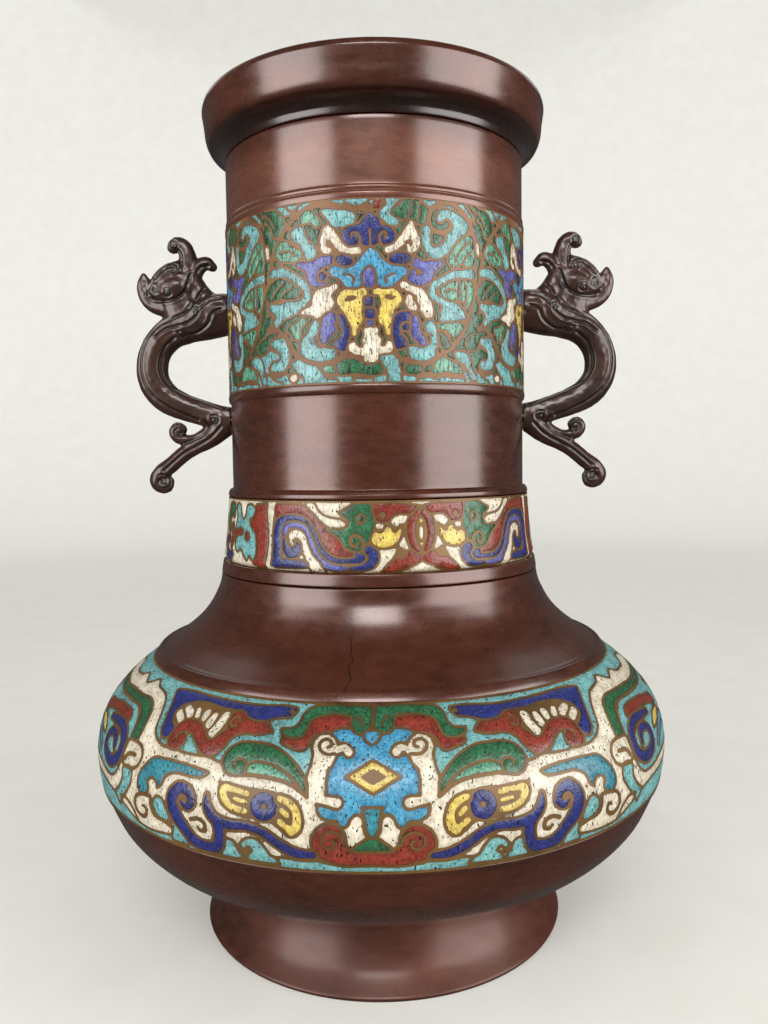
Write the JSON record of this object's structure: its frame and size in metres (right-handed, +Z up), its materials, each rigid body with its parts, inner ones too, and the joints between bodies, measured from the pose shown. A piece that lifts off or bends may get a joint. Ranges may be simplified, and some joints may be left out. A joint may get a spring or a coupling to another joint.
{
  "type": "vase",
  "caption": "Tall-necked bronze vase with a squat round belly, flared foot, dragon handles and bands of coloured enamel.",
  "frame": {"origin": "centre of the foot's underside, on the surface that the vase stands on", "axes": "+Z up along the vase's axis; the handles lie along +X and -X; -Y faces the viewer of the mask on the belly"},
  "size_m": [0.2142, 0.2142, 0.305],
  "materials": {
    "bronze": "satin",
    "handle_bronze": "satin",
    "enamel_turquoise": "gloss",
    "enamel_white": "gloss",
    "enamel_light_blue": "gloss",
    "enamel_dark_blue": "gloss",
    "enamel_green": "gloss",
    "enamel_red": "gloss",
    "enamel_yellow": "gloss"
  },
  "bodies": {
    "root": {"mouth_rim": "bronze", "neck_shell": "bronze", "body_shell": "bronze", "foot_ring": "bronze", "base_plate": "bronze", "upper_neck_enamel": "enamel_turquoise", "lower_neck_enamel": "enamel_turquoise", "belly_enamel": "enamel_turquoise", "handle_left": "handle_bronze", "handle_right": "handle_bronze", "handle_pin_left_upper": "handle_bronze", "handle_pin_left_lower": "handle_bronze", "handle_pin_right_upper": "handle_bronze", "handle_pin_right_lower": "handle_bronze"}
  },
  "joints": []
}
